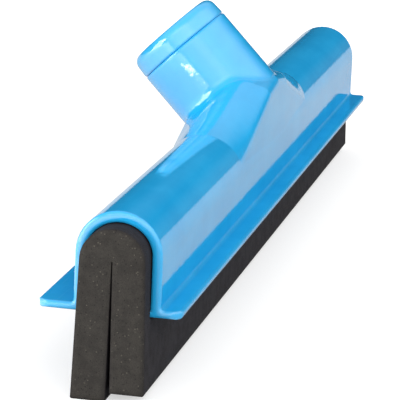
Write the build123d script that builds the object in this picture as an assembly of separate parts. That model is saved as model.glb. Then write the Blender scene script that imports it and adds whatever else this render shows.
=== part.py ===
from build123d import *
import math
import os

# Floor squeegee head, millimetres.
# X runs along the channel, Y points to the side the neck leans to, Z is up.
# The longer lip stands on Z = 0 and the channel is centred on X = 0, Y = 0 until the last step.

# Channel
CHANNEL_LENGTH = 400.0
CHANNEL_WIDTH = 28.0
CHANNEL_TOP = 59.0
WALL = 3.3
CROWN = 3.6
FLANGE_FRONT = 25.9
FLANGE_BACK = 20.7
FLANGE_THICKNESS = 2.4
FLANGE_UNDERSIDE = 26.0
FLANGE_TIP_ROUND = 0.9
FLANGE_CORNER_ROUND = 4.5
FLANGE_ROOT_ROUND = 1.2
RIM_ROUND = 1.0
MOUTH_ROUND = 1.0
GRIP_REACH = 1.0
GRIP_HEIGHT = 2.0

# Rubber blade
SLIDE_GAP = 0.3
OVERHANG = 8.5
FOOT_HALF = 11.8
LIP_STEP = 2.8
LIP_ROUND = 0.6
SLIT_TOP_WIDTH = 0.4
SLIT_BOTTOM_WIDTH = 1.5

# Neck tube, with heights measured along its axis from the foot of the axis
NECK_LEAN = 44.1
NECK_FOOT_Y = -7.6
NECK_FOOT_RISE = 1.5
TUBE_RADIUS = 19.4
TUBE_START = 6.0
SEAM = 45.0
SEAM_ROUND = 0.8

# Flare between the channel's round top and the tube
FLARE_HALF_LENGTH = 75.0
FLARE_SINK = 0.5
FLARE_FLOOR_DROP = 9.0
FLANK_INSET = 0.05
SHOULDER_Y = -9.5
SHOULDER_ROUND = 4.5
SHOULDER_RISE = 23.5
SHOULDER_PEAK = 25.5
CREASE = 22.5
CREASE_START_Y = 1.5
CREASE_MIDDLE_Y = 11.0
CREASE_END_Y = 17.3
HEEL_DROP = 9.0
HEEL_ANGLE = 20.0
TUBE_INSET = 2.5
SHELF_INSET = 2.0
BLEND_ROUND = 4.0

# Socket bush
BORE_RADIUS = 12.0
BUSH_WALL = 3.0
BUSH_FIT = 0.05
BUSH_END_GAP = 0.5
SOCKET_SKIN = 3.5
COLLAR_HEIGHT = 8.4
COLLAR_TAPER = 0.5
COLLAR_ROUND = 3.8
BORE_CHAMFER = 1.0

# Cutters run this far past what they cut
PAST = 1.0

half_length = CHANNEL_LENGTH / 2
half_width = CHANNEL_WIDTH / 2
flange_top = FLANGE_UNDERSIDE + FLANGE_THICKNESS
arch_centre = CHANNEL_TOP - half_width
inner_half = half_width - WALL
inner_rise = half_width - CROWN
grip_half = inner_half - GRIP_REACH
grip_top = FLANGE_UNDERSIDE + GRIP_HEIGHT
blade_half = inner_half - SLIDE_GAP
blade_rise = inner_rise - SLIDE_GAP
groove_half = grip_half - SLIDE_GAP
groove_bottom = FLANGE_UNDERSIDE - SLIDE_GAP
groove_top = grip_top + SLIDE_GAP

lean = math.radians(NECK_LEAN)
axis_y = math.sin(lean)
axis_z = math.cos(lean)
foot_z = arch_centre + NECK_FOOT_RISE
neck_frame = Plane(origin=(0, NECK_FOOT_Y, foot_z), x_dir=(1, 0, 0), z_dir=(0, axis_y, axis_z)).location


def along_neck(y, z):
    # Height of a point above the neck's foot, along the neck's axis.
    return (y - NECK_FOOT_Y) * axis_y + (z - foot_z) * axis_z


def across(x):
    # A drawing plane across the channel, with Y to the right and Z up.
    return Plane(origin=(x, 0, 0), x_dir=(0, 1, 0), z_dir=(1, 0, 0))


def bar(sketch, start, end):
    return extrude(across(start) * sketch, end - start)


def rectangle(low_y, high_y, low_z, high_z):
    middle = ((low_y + high_y) / 2, (low_z + high_z) / 2)
    return Pos(*middle) * Rectangle(high_y - low_y, high_z - low_z)


def side_strip(side, inner, outer, low_z, high_z):
    low_y, high_y = sorted((side * inner, side * outer))
    return rectangle(low_y, high_y, low_z, high_z)


def arch(half, rise, bottom):
    # Straight sides closed by a half ellipse on the channel's own centre.
    return rectangle(-half, half, bottom, arch_centre) + Pos(0, arch_centre) * Ellipse(half, rise)


def corners_at(sketch, u, v):
    # The corners of a drawing at that distance from its upright axis and at that height.
    return [c for c in sketch.vertices() if abs(abs(c.X) - u) < 1e-4 and abs(c.Y - v) < 1e-4]


def upright_cylinder(radius, start, end):
    return Pos(0, 0, start) * Cylinder(radius, end - start, align=(Align.CENTER, Align.CENTER, Align.MIN))


# Channel with a flange along each side and a small inturned grip inside each lower edge
shell = rectangle(-half_width, half_width, FLANGE_UNDERSIDE, arch_centre)
shell += Pos(0, arch_centre) * Circle(half_width)
shell += rectangle(-FLANGE_BACK, FLANGE_FRONT, FLANGE_UNDERSIDE, flange_top)
for reach in (FLANGE_FRONT, FLANGE_BACK):
    tips = corners_at(shell, reach, FLANGE_UNDERSIDE) + corners_at(shell, reach, flange_top)
    shell = fillet(tips, FLANGE_TIP_ROUND)
shell = fillet(corners_at(shell, half_width, flange_top), FLANGE_ROOT_ROUND)
channel = bar(shell, -half_length, half_length)
rims = [e for e in channel.edges() if abs(abs(e.center().X) - half_length) < 1e-4]
channel = fillet(rims, RIM_ROUND)
plan = Rectangle(CHANNEL_LENGTH, FLANGE_FRONT + FLANGE_BACK)
plan = Pos(0, (FLANGE_FRONT - FLANGE_BACK) / 2) * fillet(plan.vertices(), FLANGE_CORNER_ROUND)
channel &= extrude(plan, CHANNEL_TOP)

cavity = arch(inner_half, inner_rise, FLANGE_UNDERSIDE - PAST)
for side in (-1, 1):
    cavity -= side_strip(side, grip_half, inner_half + PAST, FLANGE_UNDERSIDE - PAST, grip_top)
cavity = bar(cavity, -half_length - PAST, half_length + PAST)

# Flare: its end sections lie just under the round top, and its full sections follow the crease at the tube
flare_floor = arch_centre - FLARE_FLOOR_DROP
sunk_half = half_width - FLARE_SINK
flank_half = half_width - FLANK_INSET
crease_level = CREASE + NECK_FOOT_Y * axis_y + foot_z * axis_z


def on_crease(y):
    return (y, (crease_level - y * axis_y) / axis_z)


def on_round_top(degrees):
    angle = math.radians(degrees)
    return (sunk_half * math.cos(angle), arch_centre + sunk_half * math.sin(angle))


def flare_section(x, over, heel):
    # The curves over and heel run from the back wall to the front wall; three lines close them below.
    left = ((over @ 0).X, flare_floor)
    right = ((heel @ 1).X, flare_floor)
    outline = [Line(left, over @ 0), over, heel, Line(heel @ 1, right), Line(right, left)]
    return across(x) * make_face(outline)


def plain_section(x):
    over = ThreePointArc(on_round_top(180), on_round_top((180 + HEEL_ANGLE) / 2), on_round_top(HEEL_ANGLE))
    heel = ThreePointArc(on_round_top(HEEL_ANGLE), on_round_top(HEEL_ANGLE / 2), on_round_top(0))
    return flare_section(x, over, heel)


def full_section(x, shoulder_rise):
    start = (-flank_half, arch_centre + shoulder_rise - SHOULDER_ROUND)
    shoulder = (SHOULDER_Y, arch_centre + shoulder_rise)
    crease_end = on_crease(CREASE_END_Y)
    over = Spline(
        start, shoulder, on_crease(CREASE_START_Y), on_crease(CREASE_MIDDLE_Y), crease_end,
        tangents=[(0, 1), (axis_z, -axis_y)])
    heel = TangentArc(crease_end, (sunk_half, crease_end[1] - HEEL_DROP), tangent=(axis_z, -axis_y))
    return flare_section(x, over, heel)


shelf_half = TUBE_RADIUS - SHELF_INSET
flare = loft([
    plain_section(-FLARE_HALF_LENGTH),
    full_section(-shelf_half, SHOULDER_RISE),
    full_section(0, SHOULDER_PEAK),
    full_section(shelf_half, SHOULDER_RISE),
    plain_section(FLARE_HALF_LENGTH),
], ruled=True)

# Neck tube, starting inside the flare's back wall
tube = upright_cylinder(TUBE_RADIUS, TUBE_START, SEAM)
mouth_edge = tube.edges().filter_by(GeomType.CIRCLE).sort_by(Axis.Z)[-1]
tube = neck_frame * fillet(mouth_edge, SEAM_ROUND)
behind = rectangle(-half_width - CHANNEL_LENGTH, TUBE_INSET - half_width, 0, CHANNEL_LENGTH)
neck = flare + (tube - bar(behind, -half_length, half_length))


def follows_tube(edge):
    # True for an edge that lies on the tube's wall below its mouth.
    points = [(neck_frame.inverse() * Location(edge @ step)).position for step in (0, 0.5, 1)]
    on_wall = all(abs(math.hypot(p.X, p.Y) - TUBE_RADIUS) < 1e-2 for p in points)
    return on_wall and max(p.Z for p in points) < SEAM - SEAM_ROUND


# A hollow round runs along the curve where the tube rises out of the flare
foot_edges = [e for e in neck.edges().filter_by(GeomType.BSPLINE) if follows_tube(e)]
neck = fillet(foot_edges, BLEND_ROUND)

socket_floor = along_neck(0, arch_centre) + inner_half + SOCKET_SKIN
bush_radius = BORE_RADIUS + BUSH_WALL
body = channel + neck - cavity


def at_mouth(edge):
    # True for an edge of the cavity's opening at either end, above the grips.
    box = edge.bounding_box()
    at_end = abs(abs(edge.center().X) - half_length) < 1e-4
    above = box.min.Z > grip_top - 1e-3 and box.size.Z > GRIP_HEIGHT
    return at_end and above and max(-box.min.Y, box.max.Y) < inner_half + 1e-3


body = fillet([e for e in body.edges() if at_mouth(e)], MOUTH_ROUND)
body -= neck_frame * upright_cylinder(bush_radius + BUSH_FIT, socket_floor, SEAM + PAST)

# Bush, turned about the neck axis: a sleeve down the tube with a collar that closes its mouth
mouth = SEAM + COLLAR_HEIGHT
sleeve_end = socket_floor + BUSH_END_GAP
collar_mouth = TUBE_RADIUS - COLLAR_TAPER
turned = make_face(Polyline(
    (BORE_RADIUS, sleeve_end),
    (bush_radius, sleeve_end),
    (bush_radius, SEAM),
    (TUBE_RADIUS, SEAM),
    (collar_mouth, mouth),
    (BORE_RADIUS, mouth),
    close=True))
turned = fillet(corners_at(turned, collar_mouth, mouth), COLLAR_ROUND)
turned = fillet(corners_at(turned, TUBE_RADIUS, SEAM), SEAM_ROUND)
turned = chamfer(corners_at(turned, BORE_RADIUS, mouth), BORE_CHAMFER)
bush = neck_frame * revolve(Plane.XZ * turned, Axis.Z)

# Rubber blade: one strip, slit from below into two lips that spread a little,
# and grooved for the grips up to its stop end
lips = make_face(Polyline(
    (-FOOT_HALF, 0),
    (FOOT_HALF, 0),
    (blade_half, arch_centre),
    (-blade_half, arch_centre),
    close=True))
lips -= rectangle(-half_width, 0, -PAST, LIP_STEP)
short_half = FOOT_HALF + (blade_half - FOOT_HALF) * LIP_STEP / arch_centre
lips = fillet(corners_at(lips, FOOT_HALF, 0) + corners_at(lips, short_half, LIP_STEP), LIP_ROUND)
slit = make_face(Polyline(
    (-SLIT_TOP_WIDTH / 2, arch_centre),
    (SLIT_TOP_WIDTH / 2, arch_centre),
    (SLIT_BOTTOM_WIDTH / 2, -PAST),
    (-SLIT_BOTTOM_WIDTH / 2, -PAST),
    close=True))
strip = lips + Pos(0, arch_centre) * Ellipse(blade_half, blade_rise) - slit
grooved = lips & rectangle(-half_width, half_width, -PAST, groove_bottom)
grooved += rectangle(-groove_half, groove_half, groove_bottom, groove_top)
grooved += arch(blade_half, blade_rise, groove_top)
grooved -= slit
stop = -half_length - SLIDE_GAP
blade = bar(grooved, stop, half_length + OVERHANG)
blade += bar(strip, -half_length - OVERHANG, stop)

nodes = {
    "squeegee_body": body,
    "socket_bush": bush,
    "rubber_blade": blade,
}

# The origin goes under the middle of the whole head
lows = [n.bounding_box().min for n in nodes.values()]
highs = [n.bounding_box().max for n in nodes.values()]
shift = Pos(
    -(min(v.X for v in lows) + max(v.X for v in highs)) / 2,
    -(min(v.Y for v in lows) + max(v.Y for v in highs)) / 2,
    -min(v.Z for v in lows))
os.makedirs("parts", exist_ok=True)
for name, solid in nodes.items():
    placed = shift * solid
    placed.label = name
    export_step(placed, f"parts/{name}.step")
    print(name, "solids", len(placed.solids()), "valid", placed.is_valid, "volume", round(placed.volume))

wall_length = mouth - BORE_CHAMFER - sleeve_end
bore_middle = shift * neck_frame * Pos(0, 0, sleeve_end + wall_length / 2)
print("shift", shift.position)
print("bore middle", bore_middle.position, "axis", (0, axis_y, axis_z), "wall length", wall_length)
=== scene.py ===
import math

import bmesh
import bpy
from mathutils import Matrix, Vector


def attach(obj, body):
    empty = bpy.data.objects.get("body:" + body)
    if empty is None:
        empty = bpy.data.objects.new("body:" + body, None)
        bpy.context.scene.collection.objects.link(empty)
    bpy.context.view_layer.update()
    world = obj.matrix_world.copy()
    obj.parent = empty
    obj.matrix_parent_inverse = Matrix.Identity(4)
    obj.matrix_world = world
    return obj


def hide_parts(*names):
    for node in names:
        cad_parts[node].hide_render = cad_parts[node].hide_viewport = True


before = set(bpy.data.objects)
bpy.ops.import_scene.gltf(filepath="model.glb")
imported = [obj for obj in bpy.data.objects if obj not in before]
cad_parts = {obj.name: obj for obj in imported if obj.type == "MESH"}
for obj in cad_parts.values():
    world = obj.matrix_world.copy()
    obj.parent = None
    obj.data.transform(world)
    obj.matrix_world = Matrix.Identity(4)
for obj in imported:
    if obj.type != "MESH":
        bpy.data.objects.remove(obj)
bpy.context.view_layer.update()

scene = bpy.context.scene
scene.view_settings.view_transform = "Standard"

MM = 0.001

# Camera; its roll is in radians
CAMERA_PLACE = Vector((-936.29, -182.21, 236.60)) * MM
CAMERA_AIM = Vector((-103.48, -16.26, 42.48)) * MM
CAMERA_ROLL = 0.0462
CAMERA_LENS = 226.1
CAMERA_SENSOR = 36.0
CAMERA_NEAREST = 0.01
CAMERA_FARTHEST = 50.0

# Colours, linear
BODY_DEEP = (0.010, 0.330, 0.670)
BODY_PALE = (0.018, 0.380, 0.735)
# The bush's blue is paler and whiter than the body's: a painted sheen on the collar
BUSH_DEEP = (0.030, 0.355, 0.680)
BUSH_PALE = (0.045, 0.400, 0.735)
# Pale blue for edges: wear and a painted highlight
RUBBED_HIGHLIT_BLUE = (0.190, 0.560, 0.860)
FOAM_PIT = (0.013, 0.012, 0.0125)
FOAM_SKIN = (0.025, 0.023, 0.027)
FOAM_CUT = (0.040, 0.0365, 0.032)
FOAM_FLECK = (0.165, 0.146, 0.120)

# Moulded plastic: its gloss, how far scratches and rubbed edges pale it (the edges' paling is partly a
# painted highlight), and the relief of its skin
PLASTIC_IOR = 1.75
ROUGHNESS_POLISHED = 0.03
ROUGHNESS_SMEARED = 0.07
ROUGHNESS_WORN = 0.25
EDGE_WEAR_AND_HIGHLIGHT = 0.65
SCRATCH_AMOUNT = 0.5
SCRATCH_PALES = 0.12
SCRATCH_DEPTH = 0.06
SCRATCH_TURNS = ((0.0, 0.15, 0.5), (0.6, -0.3, -0.35))
STREAK_FINENESS = 4.0
GRAIN_HEIGHT = 0.05
SKIN_RELIEF = 0.06 * MM
SKIN_BUMP = 0.5
BODY_EDGE = 1.5 * MM
BODY_FLOW = 38.0
BUSH_EDGE = 0.8 * MM
BUSH_FLOW = 70.0

# Foam rubber: its dull surface, soft corners, relief and shades, and how far a cut end may turn away
FOAM_SPECULAR = 0.12
ROUGHNESS_PIT = 0.95
ROUGHNESS_WALL = 0.75
FOAM_EDGE = 2.6 * MM
FOAM_EDGE_PALES = 0.05
FOAM_RELIEF = 0.12 * MM
FOAM_BUMP = 0.6
CELL_DARKEST = 0.45
PIT_DARKEST = 0.20
CLOUD_DARKEST = 0.60
CUT_FROM = 0.3
CUT_FULL = 1.0

# Foam blade, in millimetres; its upright axis is the channel's
CHANNEL_Y = -10.5093
BLADE_START = -208.5
BLADE_STOP = -200.3
BLADE_END = 208.5
BLADE_HALF = 10.4
FOOT_HALF = 11.8
BLADE_RISE = 10.1
ARCH_CENTRE = 45.0
ARCH_STEPS = 18
CROWN_FLAT = 0.02
LIP_STEPS = 3
LIP_STEP = 2.8
LIP_ROUND = 0.6
SLIT_TOP = 0.4
SLIT_BOTTOM = 1.5
GROOVE_LOW = 25.7
GROOVE_HIGH = 28.3
GROOVE_HALF = 9.4
GROOVE_MARGIN = 1.0
STOP_RAMP = 0.3
SAME_PLACE = 1e-3

# Room: its own grey and soft pools of light, each full and fading out at an angle from its middle, in degrees
ROOM_GREY = 0.02
FRONT_HIGH = {"toward": (-0.85, -0.10, 0.42), "full": 4.0, "gone": 37.0, "strength": 1.4}
FRONT_LOW = {"toward": (-1.00, -0.05, 0.05), "full": 25.0, "gone": 75.0, "strength": 0.9}
RIGHT_SIDE = {"toward": (-0.12, -0.90, 0.43), "full": 10.0, "gone": 62.0, "strength": 1.45}
OVERHEAD = {"toward": (0.0, 0.0, 1.0), "full": 46.0, "gone": 77.0, "strength": 0.72}
BACK_LOW = {"toward": (1.0, -0.40, -0.05), "full": 3.0, "gone": 20.0, "strength": 0.10}
ROOM_POOLS = (FRONT_HIGH, FRONT_LOW, RIGHT_SIDE, OVERHEAD, BACK_LOW)

# Studio floor: how much of its white is its own, beside the object and further out
FLOOR_HALF = 12.0
FLOOR_GREY = 0.52
FLOOR_ROUGHNESS = 0.9
FLOOR_GLOW_NEAR = 0.55
FLOOR_GLOW_FAR = 0.85
NEAR_REACH = 0.15
FAR_REACH = 0.75

# How strongly gloss mirrors the floor's own glow, a painted reflection brighter than white: most on the left
# in front, hardly on the right and behind
FLOOR_MIRRORED_LEFT = 3.0
FLOOR_MIRRORED_RIGHT = 0.05
MIRRORED_FROM_Y = 0.0
MIRRORED_FULL_Y = 0.06
MIRRORED_FROM_X = 0.25
MIRRORED_FULL_X = -0.25


def make_camera():
    data = bpy.data.cameras.new("photo_camera")
    data.lens = CAMERA_LENS
    data.sensor_width = CAMERA_SENSOR
    data.clip_start = CAMERA_NEAREST
    data.clip_end = CAMERA_FARTHEST
    camera = bpy.data.objects.new("photo_camera", data)
    scene.collection.objects.link(camera)
    forward = (CAMERA_AIM - CAMERA_PLACE).normalized()
    level = forward.cross(Vector((0, 0, 1))).normalized()
    upright = level.cross(forward)
    right = level * math.cos(CAMERA_ROLL) + upright * math.sin(CAMERA_ROLL)
    up = upright * math.cos(CAMERA_ROLL) - level * math.sin(CAMERA_ROLL)
    turn = Matrix((right, up, -forward)).transposed().to_4x4()
    camera.matrix_world = Matrix.Translation(CAMERA_PLACE) @ turn
    scene.camera = camera


# Node helpers
def place_node(tree, kind, settings=None, inputs=None):
    # One node: its properties, then its inputs, where a socket is linked and anything else is a value.
    node = tree.nodes.new(kind)
    for name, value in (settings or {}).items():
        setattr(node, name, value)
    for name, value in (inputs or {}).items():
        if isinstance(value, bpy.types.NodeSocket):
            tree.links.new(value, node.inputs[name])
        else:
            node.inputs[name].default_value = value
    return node


def maths(tree, operation, first, second=0.0, clamp=False):
    settings = {"operation": operation, "use_clamp": clamp}
    return place_node(tree, "ShaderNodeMath", settings, {0: first, 1: second}).outputs[0]


def weighted(tree, first, second, first_share, second_share):
    # The sum of two values, each times its share.
    first = maths(tree, "MULTIPLY", first, first_share)
    second = maths(tree, "MULTIPLY", second, second_share)
    return maths(tree, "ADD", first, second)


def aligned(tree, first, second):
    # How nearly two directions are the same: 1 where they are.
    node = place_node(tree, "ShaderNodeVectorMath", {"operation": "DOT_PRODUCT"}, {0: first, 1: second})
    return node.outputs["Value"]


def band(tree, value, low, high, out_low=0.0, out_high=1.0):
    # Smooth step from one range into another.
    inputs = {"Value": value, "From Min": low, "From Max": high, "To Min": out_low, "To Max": out_high}
    return place_node(tree, "ShaderNodeMapRange", {"interpolation_type": "SMOOTHSTEP"}, inputs).outputs[0]


def noise(tree, vector, scale, detail=2.0, roughness=0.5):
    inputs = {"Vector": vector, "Scale": scale, "Detail": detail, "Roughness": roughness}
    return place_node(tree, "ShaderNodeTexNoise", None, inputs).outputs["Fac"]


def bubbles(tree, vector, scale):
    # Scattered bubbles: the distance from the nearest one's middle, and its own random colour.
    inputs = {"Vector": vector, "Scale": scale}
    outputs = place_node(tree, "ShaderNodeTexVoronoi", {"feature": "F1"}, inputs).outputs
    return outputs["Distance"], outputs["Color"]


def channel(tree, colour, name):
    return place_node(tree, "ShaderNodeSeparateColor", None, {"Color": colour}).outputs[name]


def stretched(tree, vector, scale, turn=(0.0, 0.0, 0.0)):
    inputs = {"Vector": vector, "Scale": scale, "Rotation": turn}
    return place_node(tree, "ShaderNodeMapping", None, inputs).outputs["Vector"]


def blend_colour(tree, factor, first, second):
    node = place_node(tree, "ShaderNodeMix", {"data_type": "RGBA"})
    for name, value in (("Factor_Float", factor), ("A_Color", first), ("B_Color", second)):
        socket = next(s for s in node.inputs if s.identifier == name)
        if isinstance(value, bpy.types.NodeSocket):
            tree.links.new(value, socket)
        else:
            socket.default_value = (*value, 1.0)
    return next(s for s in node.outputs if s.identifier == "Result_Color")


def relief(tree, height, strength, distance, normal):
    inputs = {"Height": height, "Strength": strength, "Distance": distance, "Normal": normal}
    return place_node(tree, "ShaderNodeBump", None, inputs).outputs["Normal"]


def new_group(name, inputs, outputs):
    tree = bpy.data.node_groups.new(name, "ShaderNodeTree")
    for label, kind, value in inputs:
        socket = tree.interface.new_socket(name=label, in_out="INPUT", socket_type="NodeSocket" + kind)
        if value is not None:
            socket.default_value = value
    for label, kind in outputs:
        tree.interface.new_socket(name=label, in_out="OUTPUT", socket_type="NodeSocket" + kind)
    return tree, place_node(tree, "NodeGroupInput").outputs, place_node(tree, "NodeGroupOutput").inputs


def use_group(tree, group, inputs):
    return place_node(tree, "ShaderNodeGroup", {"node_tree": group}, inputs).outputs


# Surface effects
def moulded_skin():
    # Flow streaks, cloudy pigment, uneven gloss and the faint waviness of a polished mould.
    tree, given, out = new_group(
        "moulded_skin",
        [("Vector", "Vector", None), ("Flow", "Float", 60.0), ("Peel", "Float", 260.0)],
        [("Tone", "Float"), ("Gloss", "Float"), ("Height", "Float")])
    vector = given["Vector"]
    clouds = noise(tree, vector, given["Flow"], detail=3.0, roughness=0.55)
    lengthwise = stretched(tree, vector, scale=(0.12, 1.0, 1.0))
    streaks = noise(tree, lengthwise, maths(tree, "MULTIPLY", given["Flow"], STREAK_FINENESS))
    tone = weighted(tree, clouds, streaks, first_share=0.65, second_share=0.35)
    tree.links.new(band(tree, tone, low=0.33, high=0.67), out["Tone"])
    wiped = stretched(tree, vector, scale=(0.5, 1.0, 1.0), turn=(0.4, 0.2, 0.7))
    smears = noise(tree, wiped, scale=95.0, detail=5.0, roughness=0.6)
    tree.links.new(band(tree, smears, low=0.35, high=0.72), out["Gloss"])
    peel = noise(tree, vector, given["Peel"], detail=1.0)
    grain = noise(tree, vector, scale=5200.0, detail=1.0)
    height = maths(tree, "ADD", peel, maths(tree, "MULTIPLY", grain, GRAIN_HEIGHT))
    tree.links.new(height, out["Height"])
    return tree


def fine_scratches():
    # Hairline scratches in two directions, gathered in patches.
    tree, given, out = new_group(
        "fine_scratches", [("Vector", "Vector", None), ("Amount", "Float", 1.0)], [("Mask", "Float")])
    vector = given["Vector"]
    patches = band(tree, noise(tree, vector, scale=45.0, detail=3.0), low=0.48, high=0.68)
    marks = []
    for turn in SCRATCH_TURNS:
        drawn_out = stretched(tree, vector, scale=(0.03, 1.0, 1.0), turn=turn)
        marks.append(band(tree, noise(tree, drawn_out, scale=1900.0, detail=0.0), low=0.735, high=0.775))
    lines = maths(tree, "MULTIPLY", maths(tree, "MAXIMUM", *marks), patches)
    tree.links.new(maths(tree, "MULTIPLY", lines, given["Amount"]), out["Mask"])
    return tree


def rubbed_highlit_edges():
    # Where the surface turns sharply: a mask for rubbed edges, also used for a painted highlight on them, and
    # the softened normal there.
    tree, given, out = new_group(
        "rubbed_highlit_edges",
        [("Vector", "Vector", None), ("Radius", "Float", 0.6 * MM)],
        [("Mask", "Float"), ("Normal", "Vector")])
    soft = place_node(tree, "ShaderNodeBevel", {"samples": 6}, {"Radius": given["Radius"]}).outputs["Normal"]
    plain = place_node(tree, "ShaderNodeNewGeometry").outputs["Normal"]
    turned = maths(tree, "SUBTRACT", 1.0, aligned(tree, soft, plain))
    patchy = noise(tree, given["Vector"], scale=420.0, detail=3.0)
    uneven = band(tree, patchy, low=0.3, high=0.7, out_low=0.45, out_high=1.0)
    mask = maths(tree, "MULTIPLY", band(tree, turned, low=0.01, high=0.16), uneven, clamp=True)
    tree.links.new(mask, out["Mask"])
    tree.links.new(soft, out["Normal"])
    return tree


def foam_cells():
    # Fine closed cells, sparse larger pits, cloudy density and pale flecks.
    tree, given, out = new_group(
        "foam_cells",
        [("Vector", "Vector", None), ("Cells", "Float", 3600.0), ("Pits", "Float", 900.0),
         ("Flecks", "Float", 640.0)],
        [("Wall", "Float"), ("Fleck", "Float"), ("Height", "Float")])
    vector = given["Vector"]
    from_cell = bubbles(tree, vector, given["Cells"])[0]
    cells = band(tree, from_cell, low=0.10, high=0.60)
    from_pit, pit_colour = bubbles(tree, vector, given["Pits"])
    filled = band(tree, channel(tree, pit_colour, "Green"), low=0.42, high=0.38)
    pits = maths(tree, "MAXIMUM", band(tree, from_pit, low=0.05, high=0.30), filled)
    clouds = band(tree, noise(tree, vector, scale=240.0, detail=5.0, roughness=0.65), low=0.25, high=0.75)
    wall = band(tree, cells, low=0.0, high=1.0, out_low=CELL_DARKEST)
    for shade, darkest in ((pits, PIT_DARKEST), (clouds, CLOUD_DARKEST)):
        wall = maths(tree, "MULTIPLY", wall, band(tree, shade, low=0.0, high=1.0, out_low=darkest))
    tree.links.new(wall, out["Wall"])
    from_fleck, fleck_colour = bubbles(tree, vector, given["Flecks"])
    dot = band(tree, from_fleck, low=0.21, high=0.10)
    brightness = band(tree, channel(tree, fleck_colour, "Red"), low=0.45, high=0.90)
    tree.links.new(maths(tree, "MULTIPLY", dot, brightness), out["Fleck"])
    tree.links.new(weighted(tree, cells, pits, first_share=0.35, second_share=0.65), out["Height"])
    return tree


SKIN = moulded_skin()
SCRATCHES = fine_scratches()
EDGES = rubbed_highlit_edges()
CELLS = foam_cells()


# Materials
def new_material(name):
    material = bpy.data.materials.new(name)
    material.use_nodes = True
    tree = material.node_tree
    place = place_node(tree, "ShaderNodeTexCoord").outputs["Object"]
    return material, tree, tree.nodes["Principled BSDF"].inputs, place


def gloss_plastic(name, deep, pale, edge_radius, flow):
    material, tree, surface, place = new_material(name)
    skin = use_group(tree, SKIN, {"Vector": place, "Flow": flow})
    marks = use_group(tree, SCRATCHES, {"Vector": place, "Amount": SCRATCH_AMOUNT})["Mask"]
    edges = use_group(tree, EDGES, {"Vector": place, "Radius": edge_radius})
    colour = blend_colour(tree, skin["Tone"], deep, pale)
    # Edges pale as wear and as a painted highlight; scratches pale as wear
    worn_and_highlit = weighted(tree, edges["Mask"], marks, EDGE_WEAR_AND_HIGHLIGHT, SCRATCH_PALES)
    tree.links.new(blend_colour(tree, worn_and_highlit, colour, RUBBED_HIGHLIT_BLUE), surface["Base Color"])
    rough = band(tree, skin["Gloss"], 0.0, 1.0, ROUGHNESS_POLISHED, ROUGHNESS_SMEARED)
    rough = maths(tree, "ADD", rough, maths(tree, "MULTIPLY", worn_and_highlit, ROUGHNESS_WORN), clamp=True)
    tree.links.new(rough, surface["Roughness"])
    surface["IOR"].default_value = PLASTIC_IOR
    height = maths(tree, "SUBTRACT", skin["Height"], maths(tree, "MULTIPLY", marks, SCRATCH_DEPTH))
    normal = relief(tree, height, SKIN_BUMP, SKIN_RELIEF, edges["Normal"])
    tree.links.new(normal, surface["Normal"])
    return material


def foam_rubber(name):
    # The cut ends, which face along the blade, show open cells and flecks, and the sides a darker skin.
    material, tree, surface, place = new_material(name)
    cells = use_group(tree, CELLS, {"Vector": place})
    edges = use_group(tree, EDGES, {"Vector": place, "Radius": FOAM_EDGE})
    along = place_node(tree, "ShaderNodeSeparateXYZ", None, {"Vector": edges["Normal"]}).outputs["X"]
    cut = band(tree, maths(tree, "ABSOLUTE", along), CUT_FROM, CUT_FULL)
    skin = blend_colour(tree, cells["Wall"], FOAM_PIT, FOAM_SKIN)
    open_cells = blend_colour(tree, cells["Wall"], FOAM_PIT, FOAM_CUT)
    colour = blend_colour(tree, cut, skin, open_cells)
    rubbed = maths(tree, "MULTIPLY", edges["Mask"], FOAM_EDGE_PALES)
    pale = maths(tree, "MAXIMUM", maths(tree, "MULTIPLY", cells["Fleck"], cut), rubbed)
    tree.links.new(blend_colour(tree, pale, colour, FOAM_FLECK), surface["Base Color"])
    rough = band(tree, cells["Wall"], 0.0, 1.0, ROUGHNESS_PIT, ROUGHNESS_WALL)
    tree.links.new(rough, surface["Roughness"])
    surface["Specular IOR Level"].default_value = FOAM_SPECULAR
    normal = relief(tree, cells["Height"], FOAM_BUMP, FOAM_RELIEF, edges["Normal"])
    tree.links.new(normal, surface["Normal"])
    return material


# Foam blade
def lip_half(z):
    # Half width of the two lips at a height: they spread a little below the slit's top.
    return FOOT_HALF + (BLADE_HALF - FOOT_HALF) * z / ARCH_CENTRE


def blade_outline(bm):
    # The cut end, one corner after another: two lips, the slit between them and a groove in each side.
    peak = ARCH_CENTRE + BLADE_RISE
    under = lip_half(GROOVE_LOW)
    corners = [
        (-lip_half(LIP_STEP), LIP_STEP), (-under, GROOVE_LOW), (-GROOVE_HALF, GROOVE_LOW),
        (-GROOVE_HALF, GROOVE_HIGH), (-BLADE_HALF, GROOVE_HIGH), (-BLADE_HALF, peak),
        (BLADE_HALF, peak), (BLADE_HALF, GROOVE_HIGH), (GROOVE_HALF, GROOVE_HIGH),
        (GROOVE_HALF, GROOVE_LOW), (under, GROOVE_LOW), (FOOT_HALF, 0.0),
        (SLIT_BOTTOM / 2, 0.0), (SLIT_TOP / 2, ARCH_CENTRE),
        (-SLIT_TOP / 2, ARCH_CENTRE), (-SLIT_BOTTOM / 2, LIP_STEP)]
    bm.faces.new([bm.verts.new((0.0, y, z)) for y, z in corners])


def near(value, target):
    return abs(value - target) < SAME_PLACE


def round_corners(bm, corners, offset, steps):
    bmesh.ops.bevel(
        bm, geom=corners, offset=offset, offset_type="OFFSET", segments=steps, profile=0.5,
        affect="VERTICES", clamp_overlap=True, material=-1)


def fill_grooves(bm):
    # The stop end has plain sides: the grooves' corners there move out to the lips' width.
    for v in bm.verts:
        side = v.co.y - CHANNEL_Y
        at_groove = GROOVE_LOW - GROOVE_MARGIN < v.co.z < ARCH_CENTRE
        outside = abs(side) > GROOVE_HALF - GROOVE_MARGIN
        if v.co.x < BLADE_STOP - STOP_RAMP / 2 and at_groove and outside:
            v.co.y = CHANNEL_Y + math.copysign(lip_half(v.co.z), side)


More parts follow.
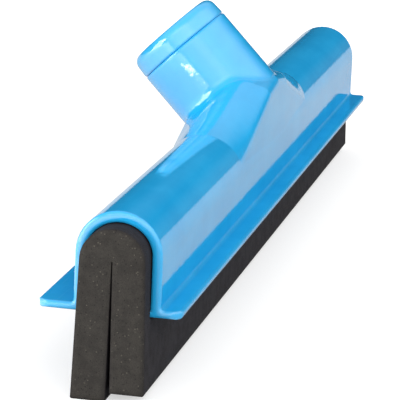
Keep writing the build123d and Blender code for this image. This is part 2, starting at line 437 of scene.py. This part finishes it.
def make_blade(material):
    # The cut end is drawn out along the channel in three steps, and no face of a step is left inside.
    bm = bmesh.new()
    blade_outline(bm)
    peaks = [v for v in bm.verts if near(v.co.z, ARCH_CENTRE + BLADE_RISE)]
    round_corners(bm, peaks, BLADE_RISE - CROWN_FLAT, ARCH_STEPS)
    feet = [v for v in bm.verts if abs(v.co.y) > BLADE_HALF and v.co.z < LIP_STEP + LIP_ROUND]
    round_corners(bm, feet, LIP_ROUND, LIP_STEPS)
    bmesh.ops.translate(bm, verts=bm.verts, vec=(BLADE_START, CHANNEL_Y, 0.0))
    reached = BLADE_START
    for stop in (BLADE_STOP - STOP_RAMP, BLADE_STOP, BLADE_END):
        front = [f for f in bm.faces if all(near(v.co.x, reached) for v in f.verts)]
        grown = bmesh.ops.extrude_face_region(bm, geom=front)["geom"]
        moved = [v for v in grown if isinstance(v, bmesh.types.BMVert)]
        bmesh.ops.translate(bm, verts=moved, vec=(stop - reached, 0.0, 0.0))
        if reached > BLADE_START:
            bmesh.ops.delete(bm, geom=front, context="FACES_ONLY")
        reached = stop
    fill_grooves(bm)
    bmesh.ops.remove_doubles(bm, verts=bm.verts, dist=SAME_PLACE)
    bmesh.ops.recalc_face_normals(bm, faces=bm.faces)
    bmesh.ops.scale(bm, verts=bm.verts, vec=(MM, MM, MM))
    mesh = bpy.data.meshes.new("foam_blade")
    bm.to_mesh(mesh)
    bm.free()
    mesh.materials.append(material)
    piece = bpy.data.objects.new("foam_blade", mesh)
    scene.collection.objects.link(piece)
    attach(piece, "blade")
    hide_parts("rubber_blade")


# Studio
def floor_white():
    # Pale matte floor that keeps the shadow; the white of its own is seen only directly and in gloss.
    material, tree, surface, place = new_material("floor_white")
    surface["Base Color"].default_value = (FLOOR_GREY, FLOOR_GREY, FLOOR_GREY, 1.0)
    surface["Roughness"].default_value = FLOOR_ROUGHNESS
    surface["Specular IOR Level"].default_value = 0.0
    path = place_node(tree, "ShaderNodeLightPath").outputs
    mirrored = maths(tree, "MAXIMUM", path["Is Glossy Ray"], path["Is Transmission Ray"])
    parts = place_node(tree, "ShaderNodeSeparateXYZ", None, {"Vector": place}).outputs
    on_left = band(tree, parts["Y"], MIRRORED_FROM_Y, MIRRORED_FULL_Y)
    in_front = band(tree, parts["X"], MIRRORED_FROM_X, MIRRORED_FULL_X)
    lit = maths(tree, "MULTIPLY", on_left, in_front)
    lit = band(tree, lit, 0.0, 1.0, FLOOR_MIRRORED_RIGHT, FLOOR_MIRRORED_LEFT)
    seen = maths(tree, "MAXIMUM", path["Is Camera Ray"], maths(tree, "MULTIPLY", mirrored, lit))
    away = place_node(tree, "ShaderNodeVectorMath", {"operation": "LENGTH"}, {0: place}).outputs["Value"]
    glow = band(tree, away, NEAR_REACH, FAR_REACH, FLOOR_GLOW_NEAR, FLOOR_GLOW_FAR)
    surface["Emission Color"].default_value = (1.0, 1.0, 1.0, 1.0)
    tree.links.new(maths(tree, "MULTIPLY", seen, glow), surface["Emission Strength"])
    return material


def make_floor():
    bm = bmesh.new()
    bmesh.ops.create_grid(bm, x_segments=1, y_segments=1, size=FLOOR_HALF)
    mesh = bpy.data.meshes.new("studio_floor")
    bm.to_mesh(mesh)
    bm.free()
    mesh.materials.append(floor_white())
    floor = bpy.data.objects.new("studio_floor", mesh)
    scene.collection.objects.link(floor)


def make_world():
    # A dim room with soft pools of light: two in front, one to the right, one overhead, a faint one behind.
    world = bpy.data.worlds.new("studio")
    scene.world = world
    world.use_nodes = True
    tree = world.node_tree
    direction = place_node(tree, "ShaderNodeTexCoord").outputs["Generated"]
    light = ROOM_GREY
    for pool in ROOM_POOLS:
        facing = aligned(tree, direction, Vector(pool["toward"]).normalized())
        edge = math.cos(math.radians(pool["gone"]))
        core = math.cos(math.radians(pool["full"]))
        light = maths(tree, "ADD", light, band(tree, facing, edge, core, 0.0, pool["strength"]))
    tree.links.new(light, tree.nodes["Background"].inputs["Color"])


def soft_box(name, place, aim, width, height, watts, roll=0.0):
    # A rectangular lamp that faces a point, rolled about its aim by an angle in degrees.
    data = bpy.data.lights.new(name, "AREA")
    data.shape = "RECTANGLE"
    data.size = width
    data.size_y = height
    data.energy = watts
    lamp = bpy.data.objects.new(name, data)
    lamp.location = place
    turn = (Vector(aim) - Vector(place)).to_track_quat("-Z", "Y").to_matrix()
    lamp.rotation_euler = (turn @ Matrix.Rotation(math.radians(roll), 3, "Z")).to_euler()
    lamp.visible_camera = False
    scene.collection.objects.link(lamp)


make_camera()
make_floor()
make_world()

# Lamps: a broad one on the left, and two small ones for the white spots on the collar and on the tube
soft_box("left_box", place=(-0.65, 0.95, 0.30), aim=(-0.05, 0.0, 0.05), width=0.9, height=0.6, watts=10.0)
soft_box("spark_lamp", place=(-0.65, 0.62, 0.35), aim=(0.0, 0.0, 0.08), width=0.12, height=0.12, watts=0.5)
soft_box(
    "glint_lamp", place=(-0.30, 0.053, 0.035), aim=(-0.019, 0.006, 0.074), width=0.08, height=0.0025,
    watts=0.011, roll=42.0)

BODY_BLUE = gloss_plastic("body_blue", BODY_DEEP, BODY_PALE, BODY_EDGE, BODY_FLOW)
BUSH_BLUE = gloss_plastic("bush_blue", BUSH_DEEP, BUSH_PALE, BUSH_EDGE, BUSH_FLOW)
FOAM_BLACK = foam_rubber("foam_black")
for node_name, finish in (
        ("squeegee_body", BODY_BLUE), ("socket_bush", BUSH_BLUE), ("rubber_blade", FOAM_BLACK)):
    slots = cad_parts[node_name].data.materials
    slots.clear()
    slots.append(finish)
make_blade(FOAM_BLACK)
